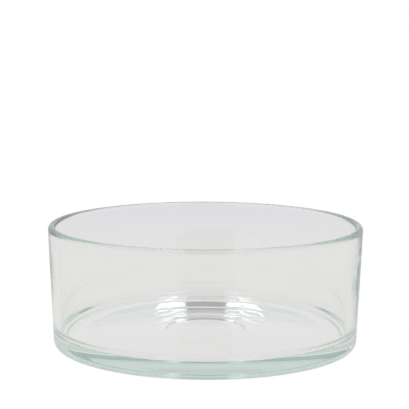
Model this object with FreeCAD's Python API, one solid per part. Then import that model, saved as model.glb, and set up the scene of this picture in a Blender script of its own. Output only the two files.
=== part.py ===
import FreeCAD, Part
import math
import os

# Low round bowl of clear glass, made in one piece, for water and floating candles.
# Everything is a body of revolution about Z, which points up out of the mouth.
# The origin is the middle of the foot, on the surface that the bowl stands on. Sizes are in millimetres.

# Whole bowl
rim_diameter = 200.0
bowl_height = 78.5

# Wall: it leans in from the rim to the foot, and is thicker at its foot
foot_inset = 3.0
wall_at_rim = 4.8
wall_at_floor = 6.2

# Floor inside the bowl, with a fillet up to the wall
floor_thickness = 10.0
floor_fillet = 6.0

# Underside: a rounded corner, a flat ring to stand on, a wide kick, and a polished hollow in the middle
foot_corner = 5.2
stand_width = 14.0
kick_height = 1.6
hollow_diameter = 52.0
hollow_depth = 0.3

rim_radius = rim_diameter / 2
rim_round = wall_at_rim / 2
rim_height = bowl_height - rim_round
foot_radius = rim_radius - foot_inset
floor_radius = foot_radius - wall_at_floor
hollow_radius = hollow_diameter / 2


def point(radius, height):
    """A point of the half section, given by its distance from the axis and its height."""
    return FreeCAD.Vector(radius, 0, height)


def line(start, end):
    return Part.makeLine(start, end)


def arc(start, middle, end):
    return Part.Arc(start, middle, end).toShape()


def rounding(before, corner, after, radius):
    """The arc that rounds a corner between two straight sides, from its start to its end."""
    first = (before - corner).normalize()
    second = (after - corner).normalize()
    half_angle = first.getAngle(second) / 2
    reach = radius / math.tan(half_angle)
    inwards = (first + second).normalize()
    middle = corner + inwards * (radius / math.sin(half_angle) - radius)
    return corner + first * reach, middle, corner + second * reach


def dome_height(radius, span, rise):
    """Height above its edge of a round dome of this span and rise, at one distance from the axis."""
    sphere_radius = (span ** 2 + rise ** 2) / (2 * rise)
    return rise - sphere_radius + (sphere_radius ** 2 - radius ** 2) ** 0.5


def dome_arc(inner_radius, outer_radius, edge_height, span, rise):
    """The stretch of a dome's section between two distances from the axis, from the inner one outwards."""
    radii = (inner_radius, (inner_radius + outer_radius) / 2, outer_radius)
    return arc(*[point(r, edge_height + dome_height(r, span, rise)) for r in radii])


def underside(stand_outer):
    """From the axis outwards: the polished hollow, the kick around it and the flat ring."""
    stand_inner_radius = stand_outer.x - stand_width
    hollow_edge = dome_height(hollow_radius, stand_inner_radius, kick_height)
    hollow = dome_arc(0, hollow_radius, hollow_edge, hollow_radius, hollow_depth)
    kick = dome_arc(hollow_radius, stand_inner_radius, 0, stand_inner_radius, kick_height)
    stand = line(point(stand_inner_radius, 0), stand_outer)
    return [hollow, kick, stand], point(0, hollow_edge + hollow_depth)


def rim():
    """The fully rounded crest, from the outside of the wall to its inside."""
    slant = rim_round * math.sqrt(1 / 2)
    middle_radius = rim_radius - rim_round
    crest = point(middle_radius, bowl_height)
    outer = arc(point(rim_radius, rim_height), point(middle_radius + slant, rim_height + slant), crest)
    inner = arc(crest, point(middle_radius - slant, rim_height + slant), point(rim_radius - wall_at_rim, rim_height))
    return [outer, inner]


def glass_bowl():
    """The half section, turned about the axis."""
    centre = point(0, 0)
    foot_edge = point(foot_radius, 0)
    outer_top = point(rim_radius, rim_height)
    inner_top = point(rim_radius - wall_at_rim, rim_height)
    floor_edge = point(floor_radius, floor_thickness)
    floor_centre = point(0, floor_thickness)
    stand_outer, foot_middle, wall_start = rounding(centre, foot_edge, outer_top, foot_corner)
    wall_end, fillet_middle, floor_end = rounding(inner_top, floor_edge, floor_centre, floor_fillet)
    base, hollow_top = underside(stand_outer)
    outside = [arc(stand_outer, foot_middle, wall_start), line(wall_start, outer_top)]
    inside = [line(inner_top, wall_end), arc(wall_end, fillet_middle, floor_end), line(floor_end, floor_centre)]
    section = base + outside + rim() + inside + [line(floor_centre, hollow_top)]
    wire = Part.Wire(Part.__sortEdges__(section))
    return Part.Face(wire).revolve(centre, FreeCAD.Vector(0, 0, 1), 360)


os.makedirs("parts", exist_ok=True)
glass_bowl().exportStep("parts/glass_bowl.step")
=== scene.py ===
import math

import bpy
from bpy.props import FloatProperty, FloatVectorProperty, IntProperty, PointerProperty
from mathutils import Matrix, Vector


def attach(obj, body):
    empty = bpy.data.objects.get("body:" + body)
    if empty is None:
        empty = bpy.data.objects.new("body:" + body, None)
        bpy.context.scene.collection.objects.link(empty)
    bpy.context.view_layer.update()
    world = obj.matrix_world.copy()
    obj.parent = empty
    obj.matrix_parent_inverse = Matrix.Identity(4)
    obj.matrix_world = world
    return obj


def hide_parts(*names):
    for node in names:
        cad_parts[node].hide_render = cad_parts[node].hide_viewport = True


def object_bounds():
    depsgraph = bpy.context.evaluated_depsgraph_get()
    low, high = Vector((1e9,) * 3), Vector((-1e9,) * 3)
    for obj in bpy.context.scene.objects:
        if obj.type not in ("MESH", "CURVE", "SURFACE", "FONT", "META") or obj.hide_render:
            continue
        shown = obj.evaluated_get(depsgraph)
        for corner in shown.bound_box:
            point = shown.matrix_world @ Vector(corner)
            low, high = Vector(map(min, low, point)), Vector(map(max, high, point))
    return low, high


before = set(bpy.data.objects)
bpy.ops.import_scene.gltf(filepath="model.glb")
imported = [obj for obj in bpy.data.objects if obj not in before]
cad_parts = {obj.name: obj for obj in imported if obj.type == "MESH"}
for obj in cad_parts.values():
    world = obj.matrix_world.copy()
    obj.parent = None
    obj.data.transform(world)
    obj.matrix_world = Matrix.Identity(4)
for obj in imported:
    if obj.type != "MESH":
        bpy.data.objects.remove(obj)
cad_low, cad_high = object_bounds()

bl_info = {
    "name": "Floating candle bowl",
    "version": (1, 0, 0),
    "blender": (4, 5, 0),
    "location": "3D View > Sidebar > Bowl",
    "description": "Makes a low round bowl of clear glass, and the pale stage that it stands on",
    "category": "Add Mesh",
}

MILLIMETRE = 0.001
MICROMETRE = MILLIMETRE / 1000

# The photograph's frame and the focal length that fits it, in pixels
FRAME_PIXELS = 409
FOCAL_PIXELS = 1564.9
# Width of the camera's sensor, in millimetres as Blender has it
SENSOR_WIDTH = 36.0

# Steps along each stretch of the half section, from the axis round to the axis again
HOLLOW_STEPS = 12
HOLLOW_EDGE_STEPS = 6
KICK_STEPS = 24
STAND_STEPS = 6
CORNER_STEPS = 16
WALL_STEPS = 40
RIM_STEPS = 24
FILLET_STEPS = 20
FLOOR_STEPS = 40

# How quickly the widening and the waves grow from the axis to the wall, and the waves die out upwards
WIDENING_GROWTH = 2.2
WAVE_GROWTH = 2.5
WAVE_FADE = 1.5

# Level of the grain at which scuffs begin and are full, and the share of them on the walls
SCUFFS_BEGIN = 0.5
SCUFFS_FULL = 0.8
SCUFFS_ON_WALLS = 0.15
SCUFF_DETAIL = 3.0
SWIRL_DETAIL = 1.0

# The floor of the stage is a wide disc just under the foot
FLOOR_RADIUS = 6
FLOOR_SIDES = 96
FLOOR_DROP = 0.2 * MILLIMETRE

# Light goes through many surfaces in thick glass before it comes out
LIGHT_BOUNCES = 48


class BowlSizes(bpy.types.PropertyGroup):
    """Sizes of the glass. The overall ones are taken from the frame."""

    rim_diameter: FloatProperty(
        name="Rim diameter",
        description="Across the outside of the rim, where the bowl is widest",
        default=cad_high.x - cad_low.x,
        unit="LENGTH",
    )
    height: FloatProperty(
        name="Height",
        description="From the surface that the bowl stands on to the crest of the rim",
        default=cad_high.z - cad_low.z,
        unit="LENGTH",
    )
    foot_inset: FloatProperty(
        name="Foot inset",
        description="How far the wall leans in from the rim to the foot",
        default=3 * MILLIMETRE,
        unit="LENGTH",
    )
    lean_gather: FloatProperty(
        name="Gather of the lean",
        description="How far the lean is gathered at the middle of the wall, so that both ends are upright",
        default=0.16,
        subtype="FACTOR",
    )
    wall_at_rim: FloatProperty(
        name="Wall at the rim",
        description="Thickness of the wall just under the rounded rim",
        default=4.8 * MILLIMETRE,
        unit="LENGTH",
    )
    wall_at_floor: FloatProperty(
        name="Wall at the floor",
        description="Thickness of the wall where the fillet of the floor begins",
        default=6.8 * MILLIMETRE,
        unit="LENGTH",
    )
    floor_height: FloatProperty(
        name="Floor height",
        description="Thickness of the base at the edge of the floor",
        default=10 * MILLIMETRE,
        unit="LENGTH",
    )
    floor_fillet: FloatProperty(
        name="Floor fillet",
        description="Radius between the floor and the wall, inside",
        default=6 * MILLIMETRE,
        unit="LENGTH",
    )
    floor_crown: FloatProperty(
        name="Floor crown",
        description="How much higher the middle of the floor stands than its edge",
        default=0.3 * MILLIMETRE,
        unit="LENGTH",
    )
    foot_corner: FloatProperty(
        name="Foot corner",
        description="Radius between the wall and the ring that the bowl stands on",
        default=5.2 * MILLIMETRE,
        unit="LENGTH",
    )
    stand_width: FloatProperty(
        name="Standing ring",
        description="Width of the flat ring that the bowl stands on",
        default=14 * MILLIMETRE,
        unit="LENGTH",
    )
    kick_height: FloatProperty(
        name="Kick",
        description="How far the underside rises from the standing ring to its middle",
        default=1.6 * MILLIMETRE,
        unit="LENGTH",
    )
    hollow_diameter: FloatProperty(
        name="Polished hollow",
        description="Across the round hollow that is polished into the middle of the underside",
        default=52 * MILLIMETRE,
        unit="LENGTH",
    )
    hollow_depth: FloatProperty(
        name="Depth of the hollow",
        description="How deep the polished hollow is cut",
        default=0.22 * MILLIMETRE,
        unit="LENGTH",
    )
    hollow_edge: FloatProperty(
        name="Edge of the hollow",
        description="Width over which the hollow's edge rises",
        default=1.5 * MILLIMETRE,
        unit="LENGTH",
    )
    rim_rise: FloatProperty(
        name="Rise of the rim",
        description="How far below the crest the rounding of the rim begins",
        default=3 * MILLIMETRE,
        unit="LENGTH",
    )
    wider_left: FloatProperty(
        name="Wider to the left",
        description="How much further the cavity reaches to the left at the floor",
        default=1.8 * MILLIMETRE,
        unit="LENGTH",
    )
    wider_right: FloatProperty(
        name="Wider to the right",
        description="How much further the cavity reaches to the right at the floor",
        default=0.6 * MILLIMETRE,
        unit="LENGTH",
    )
    rim_share: FloatProperty(
        name="Share at the rim",
        description="Share of this widening that is left at the rim",
        default=0.05,
        subtype="FACTOR",
    )
    wave_height: FloatProperty(
        name="Waves",
        description="Height of the slow waves that the glass kept inside from its mould",
        default=0.1 * MILLIMETRE,
        unit="LENGTH",
    )
    wave_length: FloatProperty(
        name="Length of the waves",
        description="Size of the slow waves",
        default=30 * MILLIMETRE,
        unit="LENGTH",
    )
    steps_around: IntProperty(
        name="Steps around",
        description="Sides of the turned glass",
        default=256,
    )


class GlassLook(bpy.types.PropertyGroup):
    """Colour and clearness of the glass."""

    absorbed: FloatVectorProperty(
        name="Tint",
        description="Colour that the glass takes on in depth",
        default=(0.80, 0.885, 0.848),
        subtype="COLOR",
    )
    density: FloatProperty(
        name="Density of the tint",
        description="How quickly the tint grows with depth, per metre",
        default=9.8,
    )
    wear: FloatProperty(
        name="Wear",
        description="Roughness of the fine scuffs, which are densest on the standing ring",
        default=0.02,
    )
    rim_softness: FloatProperty(
        name="Softness of the rim",
        description="Roughness of the crest, which the flame polished less than the mould did the walls",
        default=0.15,
    )
    rim_low: FloatProperty(
        name="Start of the soft rim",
        description="Height over the foot from which the glass grows softer towards the crest",
        default=cad_high.z - 5 * MILLIMETRE,
        unit="LENGTH",
    )
    rim_high: FloatProperty(
        name="Full softness",
        description="Height over the foot from which the rim has its full softness",
        default=cad_high.z - 2.5 * MILLIMETRE,
        unit="LENGTH",
    )
    wear_scale: FloatProperty(
        name="Grain of the wear",
        description="Scuffs per metre",
        default=220.0,
    )
    swirl_scale: FloatProperty(
        name="Swirls",
        description="Faint swirls of the surface, per metre",
        default=45.0,
    )
    swirl_depth: FloatProperty(
        name="Depth of the swirls",
        description="How deep the faint swirls are",
        default=0.004 * MILLIMETRE,
        unit="LENGTH",
    )
    index: FloatProperty(
        name="Refractive index",
        description="Refractive index of soda-lime glass",
        default=1.52,
    )


class StageLook(bpy.types.PropertyGroup):
    """The camera, the lamps and the tones of the pale stage."""

    camera_distance: FloatProperty(
        name="Camera distance",
        description="From the middle of the foot to the camera",
        default=1.0126,
        unit="LENGTH",
    )
    camera_rise: FloatProperty(
        name="Camera rise",
        description="Angle of the camera above the floor, seen from the middle of the foot",
        default=math.radians(13.289),
        subtype="ANGLE",
    )
    camera_aim: FloatProperty(
        name="Aim",
        description="Height over the middle of the foot that the camera is aimed at",
        default=0.09052,
        unit="LENGTH",
    )
    camera_side: FloatProperty(
        name="Side step",
        description="How far the camera stands to the right",
        default=-0.741 * MILLIMETRE,
        unit="LENGTH",
    )
    camera_roll: FloatProperty(
        name="Roll",
        description="Turn of the camera about its own axis",
        default=math.radians(0.228),
        subtype="ANGLE",
    )
    lens_share: FloatProperty(
        name="Lens",
        description="Focal length as a share of the frame's width",
        default=FOCAL_PIXELS / FRAME_PIXELS,
    )
    shown_tone: FloatVectorProperty(
        name="Shown tone",
        description="Floor and background as the camera sees them",
        default=(1.0, 1.0, 1.0),
        subtype="COLOR",
    )
    floor_shown: FloatVectorProperty(
        name="Shown floor",
        description="Glow of the floor as the camera sees it. Its matt share takes the shadow",
        default=(1.05, 1.05, 1.05),
        subtype="COLOR",
    )
    # Painted fall-off of light: through the glass the floor glows lighter near the bowl, and darker and
    # more lilac further off.
    near_painted_light: FloatVectorProperty(
        name="Near tone",
        description="Floor around the bowl as it is seen through the glass",
        default=(0.805, 0.795, 0.78),
        subtype="COLOR",
    )
    far_painted_shade: FloatVectorProperty(
        name="Far tone",
        description="Floor further off as it is seen through the glass",
        default=(0.76, 0.74, 0.785),
        subtype="COLOR",
    )
    near_reach: FloatProperty(
        name="Near reach",
        description="Distance from the axis at which the near tone begins to fade",
        default=0.25,
        unit="LENGTH",
    )
    far_reach: FloatProperty(
        name="Far reach",
        description="Distance from the axis from which the floor has its far tone",
        default=0.6,
        unit="LENGTH",
    )
    matt_tone: FloatVectorProperty(
        name="Matt tone",
        description="Colour of the floor under the lamps",
        default=(0.8, 0.8, 0.8),
        subtype="COLOR",
    )
    glow_share: FloatProperty(
        name="Glow share",
        description="How much of the floor is its own pale tone. The rest takes the shadow",
        default=0.93,
        subtype="FACTOR",
    )
    room_tone: FloatVectorProperty(
        name="Room tone",
        description="Room as it is seen through the glass and in its reflections",
        default=(0.79, 0.78, 0.80),
        subtype="COLOR",
    )
    horizon_tone: FloatVectorProperty(
        name="Horizon tone",
        description="Room near the horizon, where the backdrop takes the most light",
        default=(0.92, 0.91, 0.92),
        subtype="COLOR",
    )
    horizon_rise: FloatProperty(
        name="Horizon",
        description="Angle above the floor at which the horizon's tone gives way to the room's",
        default=math.radians(14),
        subtype="ANGLE",
    )
    horizon_blur: FloatProperty(
        name="Blur of the horizon",
        description="Angle over which it gives way, each way",
        default=math.radians(5),
        subtype="ANGLE",
    )
    gap_tone: FloatVectorProperty(
        name="Gap tone",
        description="Dim gap in the pale room, behind the camera",
        default=(0.12, 0.12, 0.12),
        subtype="COLOR",
    )
    gap_turn: FloatProperty(
        name="Gap",
        description="Angle from the middle of the gap to its edge",
        default=math.radians(24),
        subtype="ANGLE",
    )
    gap_low: FloatProperty(
        name="Gap's lower edge",
        description="Angle above the floor from which the gap is dim",
        default=math.radians(-60),
        subtype="ANGLE",
    )
    gap_blur: FloatProperty(
        name="Blur of the gap",
        description="Angle over which the edge of the gap fades",
        default=math.radians(1),
        subtype="ANGLE",
    )
    matt_light: FloatVectorProperty(
        name="Matt light",
        description="Light of the room on matt surfaces",
        default=(0.6, 0.6, 0.6),
        subtype="COLOR",
    )
    lamp_strength: FloatProperty(
        name="Lamp strength",
        description="Brightness of the face of each softbox",
        default=2.0,
    )
    lamp_height: FloatProperty(
        name="Lamp height",
        description="Height of the softboxes over the floor",
        default=1.5,
        unit="LENGTH",
    )
    lamp_inner: FloatProperty(
        name="Lamp's inner edge",
        description="Angle from straight overhead to the inner edge of each softbox",
        default=math.radians(9.4),
        subtype="ANGLE",
    )
    lamp_outer: FloatProperty(
        name="Lamp's outer edge",
        description="Angle from straight overhead to the outer edge of each softbox",
        default=math.radians(14.5),
        subtype="ANGLE",
    )
    lamp_front: FloatProperty(
        name="Lamp to the front",
        description="How far each softbox reaches towards the camera",
        default=0.5,
        unit="LENGTH",
    )
    lamp_back: FloatProperty(
        name="Lamp to the back",
        description="How far each softbox reaches to the back",
        default=0.9,
        unit="LENGTH",
    )
    strip_tone: FloatVectorProperty(
        name="Strip tone",
        description="Dim strip overhead, between the softboxes",
        default=(0.25, 0.25, 0.255),
        subtype="COLOR",
    )
    strip_low: FloatProperty(
        name="Strip's lower edge",
        description="Angle above the floor from which the strip is dim",
        default=math.radians(40),
        subtype="ANGLE",
    )


def arc(centre, radius, start, end, steps):
    """Points of an arc about a point of the half section, angles in degrees from straight outwards."""
    angles = [math.radians(start + (end - start) * i / steps) for i in range(steps + 1)]
    return [(centre[0] + radius * math.cos(a), centre[1] + radius * math.sin(a)) for a in angles]


def between(start, end, steps):
    """Evenly spaced values from one to the other, both ends included."""
    return [start + (end - start) * i / steps for i in range(steps + 1)]


def leaning(sizes):
    """Shares of the way along a wall, each with its share of the lean, gathered towards the middle."""
    shares = between(0, 1, WALL_STEPS)[1:]
    return [(share, share - sizes.lean_gather * math.sin(math.tau * share) / math.tau) for share in shares]


def underside(sizes):
    """From the axis outwards: the polished hollow, the kick around it and the standing ring."""
    stand_outer = sizes.rim_diameter / 2 - sizes.foot_inset - sizes.foot_corner
    stand_inner = stand_outer - sizes.stand_width
    hollow, edge = sizes.hollow_diameter / 2, sizes.hollow_edge
    radii = between(0, hollow - edge, HOLLOW_STEPS)
    radii += between(hollow - edge, hollow, HOLLOW_EDGE_STEPS)[1:]
    radii += between(hollow, stand_inner, KICK_STEPS)[1:]
    points = []
    for radius in radii:
        across = min(max((hollow - radius) / edge, 0), 1)
        step = across * across * (3 - 2 * across)
        kick = sizes.kick_height * (1 - (radius / stand_inner) ** 2)
        points.append((radius, kick + sizes.hollow_depth * step))
    points += [(radius, 0.0) for radius in between(stand_inner, stand_outer, STAND_STEPS)[1:]]
    return points


def outside(sizes):
    """The rounded foot and the wall up to the rim."""
    foot_radius = sizes.rim_diameter / 2 - sizes.foot_inset
    corner = sizes.foot_corner
    rim_height = sizes.height - sizes.rim_rise
    points = arc((foot_radius - corner, corner), corner, -90, 0, CORNER_STEPS)[1:]
    for share, lean in leaning(sizes):
        points.append((foot_radius + sizes.foot_inset * lean, corner + (rim_height - corner) * share))
    return points


def rim(sizes):
    """The fully rounded crest, from the outer wall to the inner one. It is rounder above than beside."""
    half = sizes.wall_at_rim / 2
    middle = sizes.rim_diameter / 2 - half
    shoulder = sizes.height - sizes.rim_rise
    circle = arc((0, 0), 1, 0, 180, RIM_STEPS)[1:]
    return [(middle + half * x, shoulder + sizes.rim_rise * y) for x, y in circle]


def inside(sizes):
    """Down the inner wall, round the fillet and over the floor to the axis."""
    rim_height = sizes.height - sizes.rim_rise
    top_radius = sizes.rim_diameter / 2 - sizes.wall_at_rim
    low_radius = sizes.rim_diameter / 2 - sizes.foot_inset - sizes.wall_at_floor
    fillet = sizes.floor_fillet
    fillet_top = sizes.floor_height + fillet
    points = []
    for share, lean in leaning(sizes):
        radius = top_radius + (low_radius - top_radius) * lean
        points.append((radius, rim_height + (fillet_top - rim_height) * share))
    floor_radius = low_radius - fillet
    points += arc((floor_radius, fillet_top), fillet, 0, -90, FILLET_STEPS)[1:]
    for radius in between(floor_radius, 0, FLOOR_STEPS)[1:]:
        points.append((radius, sizes.floor_height + sizes.floor_crown * (1 - (radius / floor_radius) ** 2)))
    return points


def draw_section(points):
    """Draws the half section as one chain of edges, and leaves its object in edit mode."""
    bpy.ops.object.select_all(action="DESELECT")
    places = [Vector((radius, 0, height)) for radius, height in points]
    bpy.ops.mesh.primitive_plane_add(size=MILLIMETRE, location=(0, 0, 0))
    bpy.ops.object.mode_set(mode="EDIT")
    bpy.ops.mesh.select_all(action="SELECT")
    bpy.ops.mesh.merge(type="CENTER")
    bpy.ops.transform.translate(value=places[0])
    for before, after in zip(places, places[1:]):
        bpy.ops.mesh.extrude_region_move(TRANSFORM_OT_translate={"value": after - before})
    return bpy.context.object


def turn_section(steps):
    """Turns the drawn section once round the axis, closes its seam and poles, and faces it outwards."""
    bpy.ops.mesh.select_all(action="SELECT")
    bpy.ops.mesh.spin(steps=steps, angle=math.tau, center=(0, 0, 0), axis=(0, 0, 1), use_auto_merge=True)
    bpy.ops.mesh.select_all(action="SELECT")
    bpy.ops.mesh.remove_doubles(threshold=MICROMETRE)
    bpy.ops.mesh.normals_make_consistent(inside=False)
    bpy.ops.object.mode_set(mode="OBJECT")
    bpy.ops.object.shade_smooth()


def inside_share(sizes, radius, height):
    """0 on the outside and the underside, 1 on the inside, and between the two over the rim."""
    if height < sizes.floor_height / 2:
        return 0.0
    outer = sizes.rim_diameter / 2 - sizes.foot_inset * (1 - height / sizes.height)
    return min(max((outer - radius) / sizes.wall_at_rim, 0.0), 1.0)


def weigh(bowl, name, weight):
    """Adds a vertex group whose weight depends on the place of each vertex."""
    group = bowl.vertex_groups.new(name=name)
    for vertex in bowl.data.vertices:
        group.add([vertex.index], weight(vertex.co), "REPLACE")


def displace(bowl, group, direction, strength, **settings):
    """Applies one displacement, by the weights of this group. Without a strength it does nothing."""
    if not strength:
        return
    bpy.ops.object.modifier_add(type="DISPLACE")
    modifier = bowl.modifiers[-1]
    modifier.vertex_group = group
    modifier.direction = direction
    modifier.strength = strength
    for name, value in settings.items():
        setattr(modifier, name, value)
    bpy.ops.object.modifier_apply(modifier=modifier.name)


def make_by_hand(bowl, sizes):
    """Widens the cavity unevenly and gives the inside its slow waves, as in hand-worked glass."""

    def up(place):
        return min(max((place.z - sizes.floor_height) / (sizes.height - sizes.floor_height), 0), 1)

    def sideways(place, side):
        radius = max(math.hypot(place.x, place.y), MILLIMETRE)
        grown = min(radius / sizes.rim_diameter * WIDENING_GROWTH, 1) ** 2
        reach = max(side * place.x / radius, 0) * grown
        return inside_share(sizes, radius, place.z) * reach * (1 + (sizes.rim_share - 1) * up(place))

    def waved(place):
        radius = math.hypot(place.x, place.y)
        near_wall = min(radius / sizes.rim_diameter * WAVE_GROWTH, 1)
        return inside_share(sizes, radius, place.z) * max(1 - WAVE_FADE * up(place), 0) * near_wall

    weigh(bowl, "left", lambda place: sideways(place, -1))
    weigh(bowl, "right", lambda place: sideways(place, 1))
    weigh(bowl, "waves", waved)
    displace(bowl, "left", "X", -sizes.wider_left, mid_level=0)
    displace(bowl, "right", "X", sizes.wider_right, mid_level=0)
    waves = bpy.data.textures.new("waves", "CLOUDS")
    waves.noise_scale = sizes.wave_length
    waves.noise_depth = 0
    displace(bowl, "waves", "NORMAL", sizes.wave_height, mid_level=0.5, texture=waves)
    bowl.vertex_groups.clear()


def put(tree, kind, inputs=None, **settings):
    """Adds a node to a tree. Each input is a value to hold, or an output to link."""
    node = tree.nodes.new(kind)
    for name, value in settings.items():
        setattr(node, name, value)
    for key, value in (inputs or {}).items():
        if isinstance(value, bpy.types.NodeSocket):
            tree.links.new(value, node.inputs[key])
        else:
            node.inputs[key].default_value = value
    return node


def worked_surface(look):
    """The fine scuffs and the faint swirls of worked glass, as a roughness and a height."""
    group = bpy.data.node_groups.new("worked_surface", "ShaderNodeTree")
    for name in ("Roughness", "Height"):
        group.interface.new_socket(name, in_out="OUTPUT", socket_type="NodeSocketFloat")
    place = put(group, "ShaderNodeTexCoord").outputs["Object"]
    fine = {"Vector": place, "Scale": look.wear_scale, "Detail": SCUFF_DETAIL}
    scuffs = put(group, "ShaderNodeTexNoise", fine).outputs["Fac"]
    patches = {"Value": scuffs, "From Min": SCUFFS_BEGIN, "From Max": SCUFFS_FULL, "To Max": look.wear}
    grain = put(group, "ShaderNodeMapRange", patches).outputs["Result"]
    up = put(group, "ShaderNodeSeparateXYZ", {0: place}).outputs["Z"]
    ring = {"Value": up, "From Min": 0.0, "From Max": MILLIMETRE, "To Min": 1.0, "To Max": SCUFFS_ON_WALLS}
    low = put(group, "ShaderNodeMapRange", ring).outputs["Result"]
    worn = put(group, "ShaderNodeMath", {0: grain, 1: low}, operation="MULTIPLY").outputs[0]
    crest = {"Value": up, "From Min": look.rim_low, "From Max": look.rim_high, "To Max": look.rim_softness}
    soft = put(group, "ShaderNodeMapRange", crest, interpolation_type="SMOOTHSTEP").outputs["Result"]
    rough = put(group, "ShaderNodeMath", {0: worn, 1: soft}, operation="ADD").outputs[0]
    slow = {"Vector": place, "Scale": look.swirl_scale, "Detail": SWIRL_DETAIL}
    swirls = put(group, "ShaderNodeTexNoise", slow)
    put(group, "NodeGroupOutput", {"Roughness": rough, "Height": swirls.outputs["Fac"]})
    return group


def clear_glass(look):
    """Clear soda-lime glass with a faint green depth, fine scuffs and faint swirls."""
    material = bpy.data.materials.new("clear_glass")
    material.use_nodes = True
    tree = material.node_tree
    shader = tree.nodes["Principled BSDF"]
    shader.inputs["Base Color"].default_value = (1, 1, 1, 1)
    shader.inputs["IOR"].default_value = look.index
    shader.inputs["Transmission Weight"].default_value = 1.0
    surface = put(tree, "ShaderNodeGroup", node_tree=worked_surface(look))
    swirls = {"Height": surface.outputs["Height"], "Distance": look.swirl_depth}
    bump = put(tree, "ShaderNodeBump", swirls)
    tree.links.new(surface.outputs["Roughness"], shader.inputs["Roughness"])
    tree.links.new(bump.outputs["Normal"], shader.inputs["Normal"])
    depth = put(tree, "ShaderNodeVolumeAbsorption", {"Color": (*look.absorbed, 1), "Density": look.density})
    tree.links.new(depth.outputs["Volume"], tree.nodes["Material Output"].inputs["Volume"])
    return material


class BOWL_OT_make_glass(bpy.types.Operator):
    """Turn the glass bowl from its half section"""

    bl_idname = "bowl.make_glass"
    bl_label = "Glass bowl"

    def execute(self, context):
        sizes = context.scene.bowl_sizes
        bowl = draw_section(underside(sizes) + outside(sizes) + rim(sizes) + inside(sizes))
        bowl.name = "bowl_of_clear_glass"
        turn_section(sizes.steps_around)
        make_by_hand(bowl, sizes)
        bowl.data.materials.append(clear_glass(context.scene.glass_look))
        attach(bowl, "root")
        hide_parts("glass_bowl")
        return {"FINISHED"}


def choose(tree, kinds, seen, otherwise):
    """A colour that rays of these kinds see, where all other rays see the other one."""
    path = put(tree, "ShaderNodeLightPath")
    factor = path.outputs[kinds[0]]
    for kind in kinds[1:]:
        pair = {0: factor, 1: path.outputs[kind]}
        factor = put(tree, "ShaderNodeMath", pair, operation="MAXIMUM").outputs[0]
    return put(tree, "ShaderNodeMixRGB", {"Fac": factor, "Color1": otherwise, "Color2": seen}).outputs[0]


def pale_floor(look):
    """White to the camera, pale grey through the glass with a painted fall-off of light (darker and more
    lilac further from the bowl), and matt under the lamps to keep a shadow.
    """
    material = bpy.data.materials.new("pale_floor")
    material.use_nodes = True
    tree = material.node_tree
    matt = tree.nodes["Principled BSDF"]
    matt.inputs["Base Color"].default_value = (*look.matt_tone, 1)
    matt.inputs["Roughness"].default_value = 1.0
    place = put(tree, "ShaderNodeTexCoord")
    reach = put(tree, "ShaderNodeVectorMath", {0: place.outputs["Object"]}, operation="LENGTH")
    # Painted fall-off of light: the floor's glow through the glass dims from the near tone to the darker,
    # lilac far tone away from the axis.
    span = {"Value": reach.outputs["Value"], "From Min": look.near_reach, "From Max": look.far_reach}
    painted_falloff = put(tree, "ShaderNodeMapRange", span, interpolation_type="SMOOTHSTEP")
    tones = {"Fac": painted_falloff.outputs["Result"], "Color1": (*look.near_painted_light, 1), "Color2": (*look.far_painted_shade, 1)}
    through = put(tree, "ShaderNodeMixRGB", tones).outputs[0]
    shown = choose(tree, ["Is Camera Ray"], (*look.floor_shown, 1), through)
    glow = put(tree, "ShaderNodeEmission", {"Color": shown})
    share = (look.glow_share,) * 3 + (1,)
    glowing = choose(tree, ["Is Camera Ray", "Is Glossy Ray", "Is Transmission Ray"], share, (0, 0, 0, 1))
    mixed = put(tree, "ShaderNodeMixShader", {0: glowing, 1: matt.outputs[0], 2: glow.outputs[0]})
    tree.links.new(mixed.outputs[0], tree.nodes["Material Output"].inputs["Surface"])
    return material


def fade(tree, value, edge, blur, before, after):
    """Goes from one value to another around an edge."""
    span = {
        "Value": value,
        "From Min": edge - blur,
        "From Max": edge + blur,
        "To Min": before,
        "To Max": after,
    }
    return put(tree, "ShaderNodeMapRange", span, interpolation_type="SMOOTHSTEP").outputs["Result"]


def pale_room(look):
    """A pale room, white to the camera, with a dim gap behind the camera and a dim strip overhead."""
    world = bpy.data.worlds.new("pale_room")
    world.use_nodes = True
    tree = world.node_tree
    place = put(tree, "ShaderNodeTexCoord")
    way = put(tree, "ShaderNodeSeparateXYZ", {0: place.outputs["Generated"]})
    aside = put(tree, "ShaderNodeMath", {0: way.outputs["X"]}, operation="ABSOLUTE").outputs[0]
    towards = put(tree, "ShaderNodeMath", {0: way.outputs["Y"], 1: -1.0}, operation="MULTIPLY").outputs[0]
    rise = put(tree, "ShaderNodeMath", {0: way.outputs["Z"]}, operation="ARCSINE").outputs[0]
    turn = put(tree, "ShaderNodeMath", {0: aside, 1: towards}, operation="ARCTAN2").outputs[0]
    lean = put(tree, "ShaderNodeMath", {0: aside, 1: way.outputs["Z"]}, operation="ARCTAN2").outputs[0]
    blur = look.gap_blur
    high = fade(tree, rise, look.horizon_rise, look.horizon_blur, 0.0, 1.0)
    tones = {"Fac": high, "Color1": (*look.horizon_tone, 1), "Color2": (*look.room_tone, 1)}
    around = put(tree, "ShaderNodeMixRGB", tones).outputs[0]
    dim_parts = [
        (turn, look.gap_turn, look.gap_low, look.gap_tone),
        (lean, look.lamp_inner, look.strip_low, look.strip_tone),
    ]
    for angle, edge, low, tone in dim_parts:
        beside = fade(tree, angle, edge, blur, 0.0, 1.0)
        below = fade(tree, rise, low, blur, 1.0, 0.0)
        pale = put(tree, "ShaderNodeMath", {0: beside, 1: below}, operation="MAXIMUM").outputs[0]
        tones = {"Fac": pale, "Color1": (*tone, 1), "Color2": around}
        around = put(tree, "ShaderNodeMixRGB", tones).outputs[0]
    through = choose(tree, ["Is Transmission Ray", "Is Glossy Ray"], around, (*look.matt_light, 1))
    shown = choose(tree, ["Is Camera Ray"], (*look.shown_tone, 1), through)
    tree.links.new(shown, tree.nodes["Background"].inputs["Color"])
    return world


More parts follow.
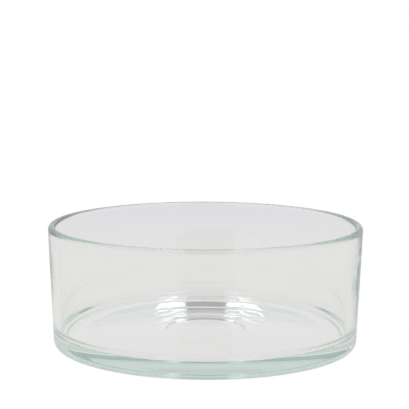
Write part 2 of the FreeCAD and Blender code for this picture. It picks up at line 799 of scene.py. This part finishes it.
def softbox(name, side, look):
    """A long flat lamp overhead, beside the strip. Side is -1 for the left one and 1 for the right."""
    inner = look.lamp_height * math.tan(look.lamp_inner)
    outer = look.lamp_height * math.tan(look.lamp_outer)
    middle = (side * (inner + outer) / 2, (look.lamp_back - look.lamp_front) / 2, look.lamp_height)
    bpy.ops.object.light_add(type="AREA", location=middle)
    lamp = bpy.context.object
    lamp.name = name
    lamp.data.shape = "RECTANGLE"
    lamp.data.size = outer - inner
    lamp.data.size_y = look.lamp_front + look.lamp_back
    lamp.data.energy = look.lamp_strength * math.pi * lamp.data.size * lamp.data.size_y
    lamp.visible_camera = False


def place_camera(look):
    """The camera of the photograph: its place, its aim and its slight roll."""
    rise = look.camera_rise
    reach = math.cos(rise) * look.camera_distance
    place = Vector((look.camera_side, -reach, math.sin(rise) * look.camera_distance))
    aim = Vector((look.camera_side, 0, look.camera_aim))
    bpy.ops.object.camera_add(location=place)
    camera = bpy.context.object
    turn = (aim - place).to_track_quat("-Z", "Y").to_matrix() @ Matrix.Rotation(look.camera_roll, 3, "Z")
    camera.rotation_euler = turn.to_euler()
    camera.data.sensor_width = SENSOR_WIDTH
    camera.data.lens = look.lens_share * camera.data.sensor_width
    bpy.context.scene.camera = camera


class BOWL_OT_set_stage(bpy.types.Operator):
    """Lay the pale floor, hang the lamps and set up the camera"""

    bl_idname = "bowl.set_stage"
    bl_label = "Stage"

    def execute(self, context):
        look = context.scene.stage_look
        bpy.ops.object.select_all(action="DESELECT")
        place = (0, 0, -FLOOR_DROP)
        bpy.ops.mesh.primitive_circle_add(
            vertices=FLOOR_SIDES,
            radius=FLOOR_RADIUS,
            fill_type="NGON",
            location=place,
        )
        floor = context.object
        floor.name = "floor"
        bpy.ops.object.transform_apply(location=True)
        floor.data.materials.append(pale_floor(look))
        context.scene.world = pale_room(look)
        softbox("softbox_left", -1, look)
        softbox("softbox_right", 1, look)
        place_camera(look)
        context.scene.view_settings.view_transform = "Standard"
        context.scene.cycles.max_bounces = LIGHT_BOUNCES
        context.scene.cycles.glossy_bounces = LIGHT_BOUNCES
        context.scene.cycles.transmission_bounces = LIGHT_BOUNCES
        return {"FINISHED"}


class BOWL_PT_sidebar(bpy.types.Panel):
    """The bowl and its stage in the sidebar of the 3D view"""

    bl_idname = "BOWL_PT_sidebar"
    bl_label = "Floating candle bowl"
    bl_space_type = "VIEW_3D"
    bl_region_type = "UI"
    bl_category = "Bowl"

    def draw(self, context):
        scene = context.scene
        groups = (scene.bowl_sizes, scene.glass_look, scene.stage_look)
        makers = (BOWL_OT_make_glass, None, BOWL_OT_set_stage)
        for group, maker in zip(groups, makers):
            box = self.layout.box()
            for name in group.__annotations__:
                box.prop(group, name)
            if maker:
                box.operator(maker.bl_idname)


CLASSES = (BowlSizes, GlassLook, StageLook, BOWL_OT_make_glass, BOWL_OT_set_stage, BOWL_PT_sidebar)


def register():
    for each in CLASSES:
        bpy.utils.register_class(each)
    bpy.types.Scene.bowl_sizes = PointerProperty(type=BowlSizes)
    bpy.types.Scene.glass_look = PointerProperty(type=GlassLook)
    bpy.types.Scene.stage_look = PointerProperty(type=StageLook)


def unregister():
    del bpy.types.Scene.stage_look
    del bpy.types.Scene.glass_look
    del bpy.types.Scene.bowl_sizes
    for each in reversed(CLASSES):
        bpy.utils.unregister_class(each)


def main():
    register()
    bpy.ops.bowl.set_stage()
    bpy.ops.bowl.make_glass()


if __name__ == "__main__":
    main()
